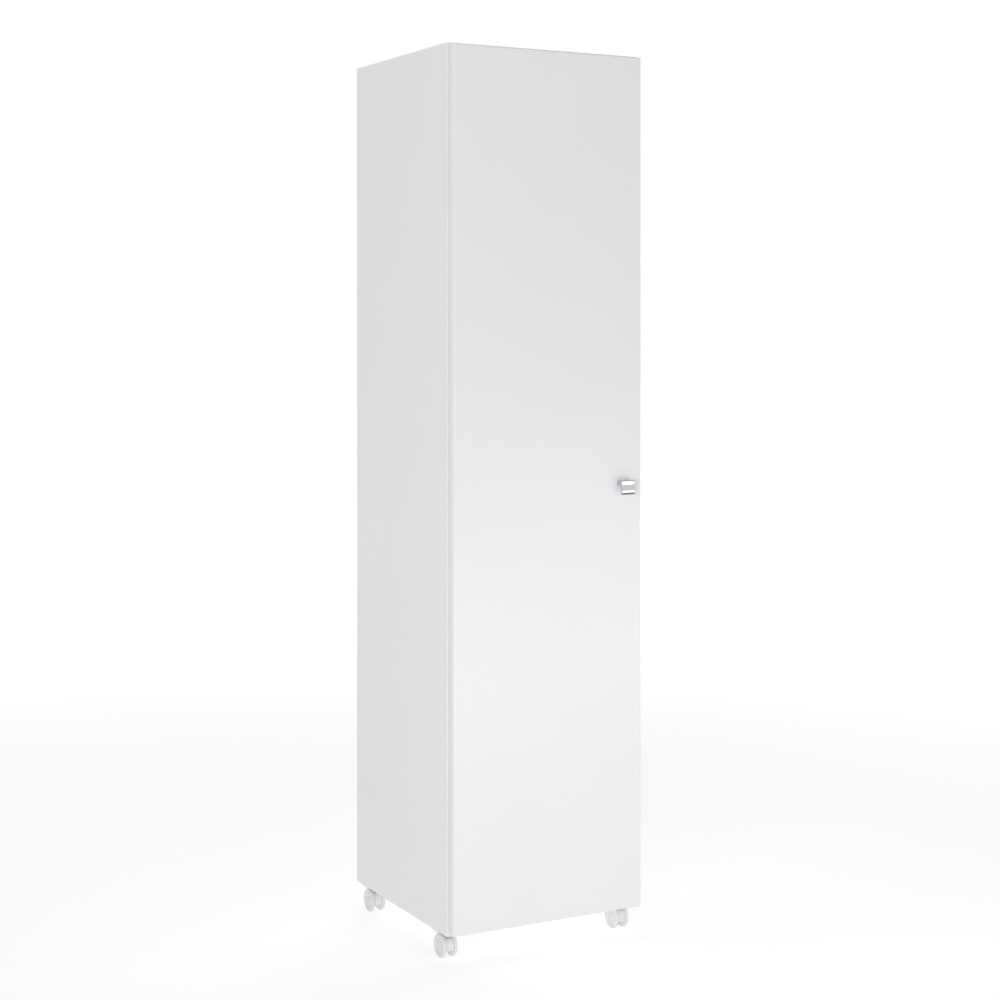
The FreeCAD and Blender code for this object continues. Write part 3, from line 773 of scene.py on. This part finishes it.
def bumper_domes(node):
    low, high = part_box(node)
    radius = (high.x - low.x) / 2
    height = high.y - low.y - EDGE_BAND
    bm = bmesh.new()
    for foot_z in (low.z + radius, high.z - radius):
        foot = Vector(((low.x + high.x) / 2, low.y, foot_z))
        points = [foot + Vector((out * radius, along * height, 0)) for out, along in DOME_SHARES]
        spin_section(bm, points, foot, (0, 1, 0), BUMPER_STEPS)
    return hand_over("bumper_domes", bm, "door", "soft_bumper", node)


bumpers = bumper_domes("door_bumpers")
print("bumpers of", len(bumpers.data.polygons), "faces")

# %% [markdown]
# ## Floor
# The cupboard stands on a plain white floor, lit from inside like a product table, so that the casters
# are not lost in the shade under the base. A camera ray should see the lit floor as white, but more light
# would burn out a white object. So the floor adds the rest of its white for camera and mirror rays only,
# and its soft shadow stays. Far from the lamps it has more to add, so the white grows with the distance.

# %% Floor
FLOOR_SIZE = 60.0
FLOOR_PATCH = 2.0
FLOOR_LIGHT = 0.3
NEAR_WHITE = 0.28
FAR_WHITE = 0.52
FADE_START = 1.0
FADE_END = 6.0


def rays_that_see(tree):
    ray = add_node(tree, "LightPath")
    mirror = add_node(tree, "Math", {
        0: ray.outputs["Is Glossy Ray"], 1: ray.outputs["Is Transmission Ray"]}, operation="MAXIMUM")
    return ray.outputs["Is Camera Ray"], mirror.outputs[0]


def white_floor():
    material, tree, shader, place = new_material("matt_white_floor", Roughness=0.9)
    tone = add_node(tree, "TexNoise", {"Vector": place, "Scale": 1 / FLOOR_PATCH, "Detail": 1.0})
    colour = add_node(tree, "Mix", {
        "Factor": tone.outputs["Fac"], "A": linear("#d9d9d9"), "B": linear("#dbdbdb")}, data_type="RGBA")
    tree.links.new(colour.outputs["Result"], shader.inputs["Base Color"])
    camera_ray, mirror_ray = rays_that_see(tree)
    seen = add_node(tree, "Math", {0: camera_ray, 1: mirror_ray}, operation="MAXIMUM")
    away = add_node(tree, "VectorMath", {0: place}, operation="LENGTH")
    white = add_node(tree, "MapRange", {
        "Value": away.outputs["Value"], "From Min": FADE_START, "From Max": FADE_END,
        "To Min": FLOOR_LIGHT + NEAR_WHITE, "To Max": FLOOR_LIGHT + FAR_WHITE},
        interpolation_type="SMOOTHSTEP")
    glow = add_node(tree, "MapRange", {
        "Value": seen.outputs[0], "To Min": FLOOR_LIGHT, "To Max": white.outputs["Result"]})
    shader.inputs["Emission Color"].default_value = linear("#ffffff")
    tree.links.new(glow.outputs["Result"], shader.inputs["Emission Strength"])
    return material


bm = bmesh.new()
bmesh.ops.create_grid(bm, x_segments=1, y_segments=1, size=FLOOR_SIZE / 2)
floor_mesh = bpy.data.meshes.new("floor")
bm.to_mesh(floor_mesh)
bm.free()
floor_mesh.materials.append(white_floor())
floor = bpy.data.objects.new("floor", floor_mesh)
bpy.context.collection.objects.link(floor)
print("floor of", FLOOR_SIZE, "metres")

# %% [markdown]
# ## Sky
# Around the cupboard is a white studio. Camera rays see it pure white, and a plainer grey-white falls on
# the boards. Mirror rays see the same white round the horizon, but a darker ceiling above it. Chrome
# needs that: a mirror in a room that is white all over looks like plain white paint.

# %% Sky
SKY_LIGHT = 0.33
CEILING_GREY = 0.36
CEILING_START = 0.20
CEILING_FULL = 0.65

world = bpy.data.worlds.new("white_studio")
world.use_nodes = True
bpy.context.scene.world = world
tree = world.node_tree
sky = tree.nodes["Background"]
camera_ray, mirror_ray = rays_that_see(tree)
direction = add_node(tree, "TexCoord").outputs["Generated"]
height = add_node(tree, "SeparateXYZ", {"Vector": direction}).outputs["Z"]
ceiling = add_node(tree, "MapRange", {
    "Value": height, "From Min": CEILING_START, "From Max": CEILING_FULL, "To Min": 1.0,
    "To Max": CEILING_GREY}, interpolation_type="SMOOTHSTEP")
lit = add_node(tree, "MapRange", {
    "Value": mirror_ray, "To Min": SKY_LIGHT, "To Max": ceiling.outputs["Result"]})
strength = add_node(tree, "MapRange", {"Value": camera_ray, "To Min": lit.outputs["Result"], "To Max": 1.0})
sky.inputs["Color"].default_value = linear("#ffffff")
tree.links.new(strength.outputs["Result"], sky.inputs["Strength"])
print("sky lights the boards at", SKY_LIGHT)

# %% [markdown]
# ## Lamps
# Four soft lamps and a card stand in the studio. The fill lamp is large, to the left of the camera, and
# lights the side and the front about alike. The key lamp is a long low strip in front of the door, so the
# door glows most below its middle. The rear lamp faces the fill lamp and lights the back and the right side.
# A weak lamp hangs above the back of the top: it lights the top, and leaves the door's upper edge in shade.
# The card is what the flat faces of the chrome pull mirror: it gives them their bright bands, and gives no
# light to what is matt. Fill, rear and top lamp would burn out as glare on the glossy boards, so mirror rays
# pass them by. Lamps are tools, so cameras don't see them.

# %% Soft lamps
# Width, height, power in watts, place and target of each lamp
LAMPS = {
    "key_lamp": (2.2, 0.4, 1.86, (0.12, -1.02, 0.47), (0.12, cad_low.y, 0.47)),
    "fill_lamp": (6.0, 1.8, 378.0, (-6.1, -6.9, 1.0), (0.0, 0.0, 0.9)),
    "rear_lamp": (6.0, 1.8, 330.0, (6.1, 6.9, 1.4), (0.0, 0.0, 0.9)),
    "top_lamp": (0.6, 0.6, 6.7, (0.0, 0.55, 2.9), (0.0, 0.0, cad_high.z)),
    "pull_card": (0.3, 0.3, 0.42, (0.93, -1.65, 0.79), (0.174, cad_low.y, 0.92))}
NO_GLARE = ("fill_lamp", "rear_lamp", "top_lamp")


def soft_lamp(name, width, height, power, place, target):
    data = bpy.data.lights.new(name, "AREA")
    data.shape = "ELLIPSE"
    data.size = width
    data.size_y = height
    data.energy = power
    lamp = bpy.data.objects.new(name, data)
    aim = Vector(target) - Vector(place)
    lamp.location = place
    lamp.rotation_euler = aim.to_track_quat("-Z", "Y").to_euler()
    lamp.visible_camera = False
    lamp.visible_glossy = name not in NO_GLARE
    bpy.context.collection.objects.link(lamp)
    print(name, "stands", round(aim.length, 2), "metres away")
    return lamp


lamps = {name: soft_lamp(name, *setting) for name, setting in LAMPS.items()}
lamps["pull_card"].visible_diffuse = False

# %% [markdown]
# ## Camera
# The photograph was taken with a level camera: upright edges stay parallel. Its two vanishing points give
# the focal length and the turn, and the horizon, well above the picture's middle, gives the lens shift.

# %% Camera
IMAGE_SIZE = 1000
FOCAL_PIXELS = 1916.5
HORIZON_ROW = 327.3
CAMERA_TURN = math.radians(28.085)
CAMERA_PLACE = Vector((-1.902, -3.571, 1.253))
SENSOR = 36.0

camera_data = bpy.data.cameras.new("camera")
camera_data.sensor_width = SENSOR
camera_data.lens = SENSOR * FOCAL_PIXELS / IMAGE_SIZE
camera_data.shift_y = (HORIZON_ROW - (IMAGE_SIZE - 1) / 2) / IMAGE_SIZE
camera_data.clip_end = 2 * FLOOR_SIZE
camera = bpy.data.objects.new("camera", camera_data)
camera.location = CAMERA_PLACE
camera.rotation_euler = (math.pi / 2, 0, -CAMERA_TURN)
bpy.context.collection.objects.link(camera)
bpy.context.scene.camera = camera
bpy.context.scene.view_settings.view_transform = "Standard"
print("lens", round(camera_data.lens, 1), "mm, shift", round(camera_data.shift_y, 4))
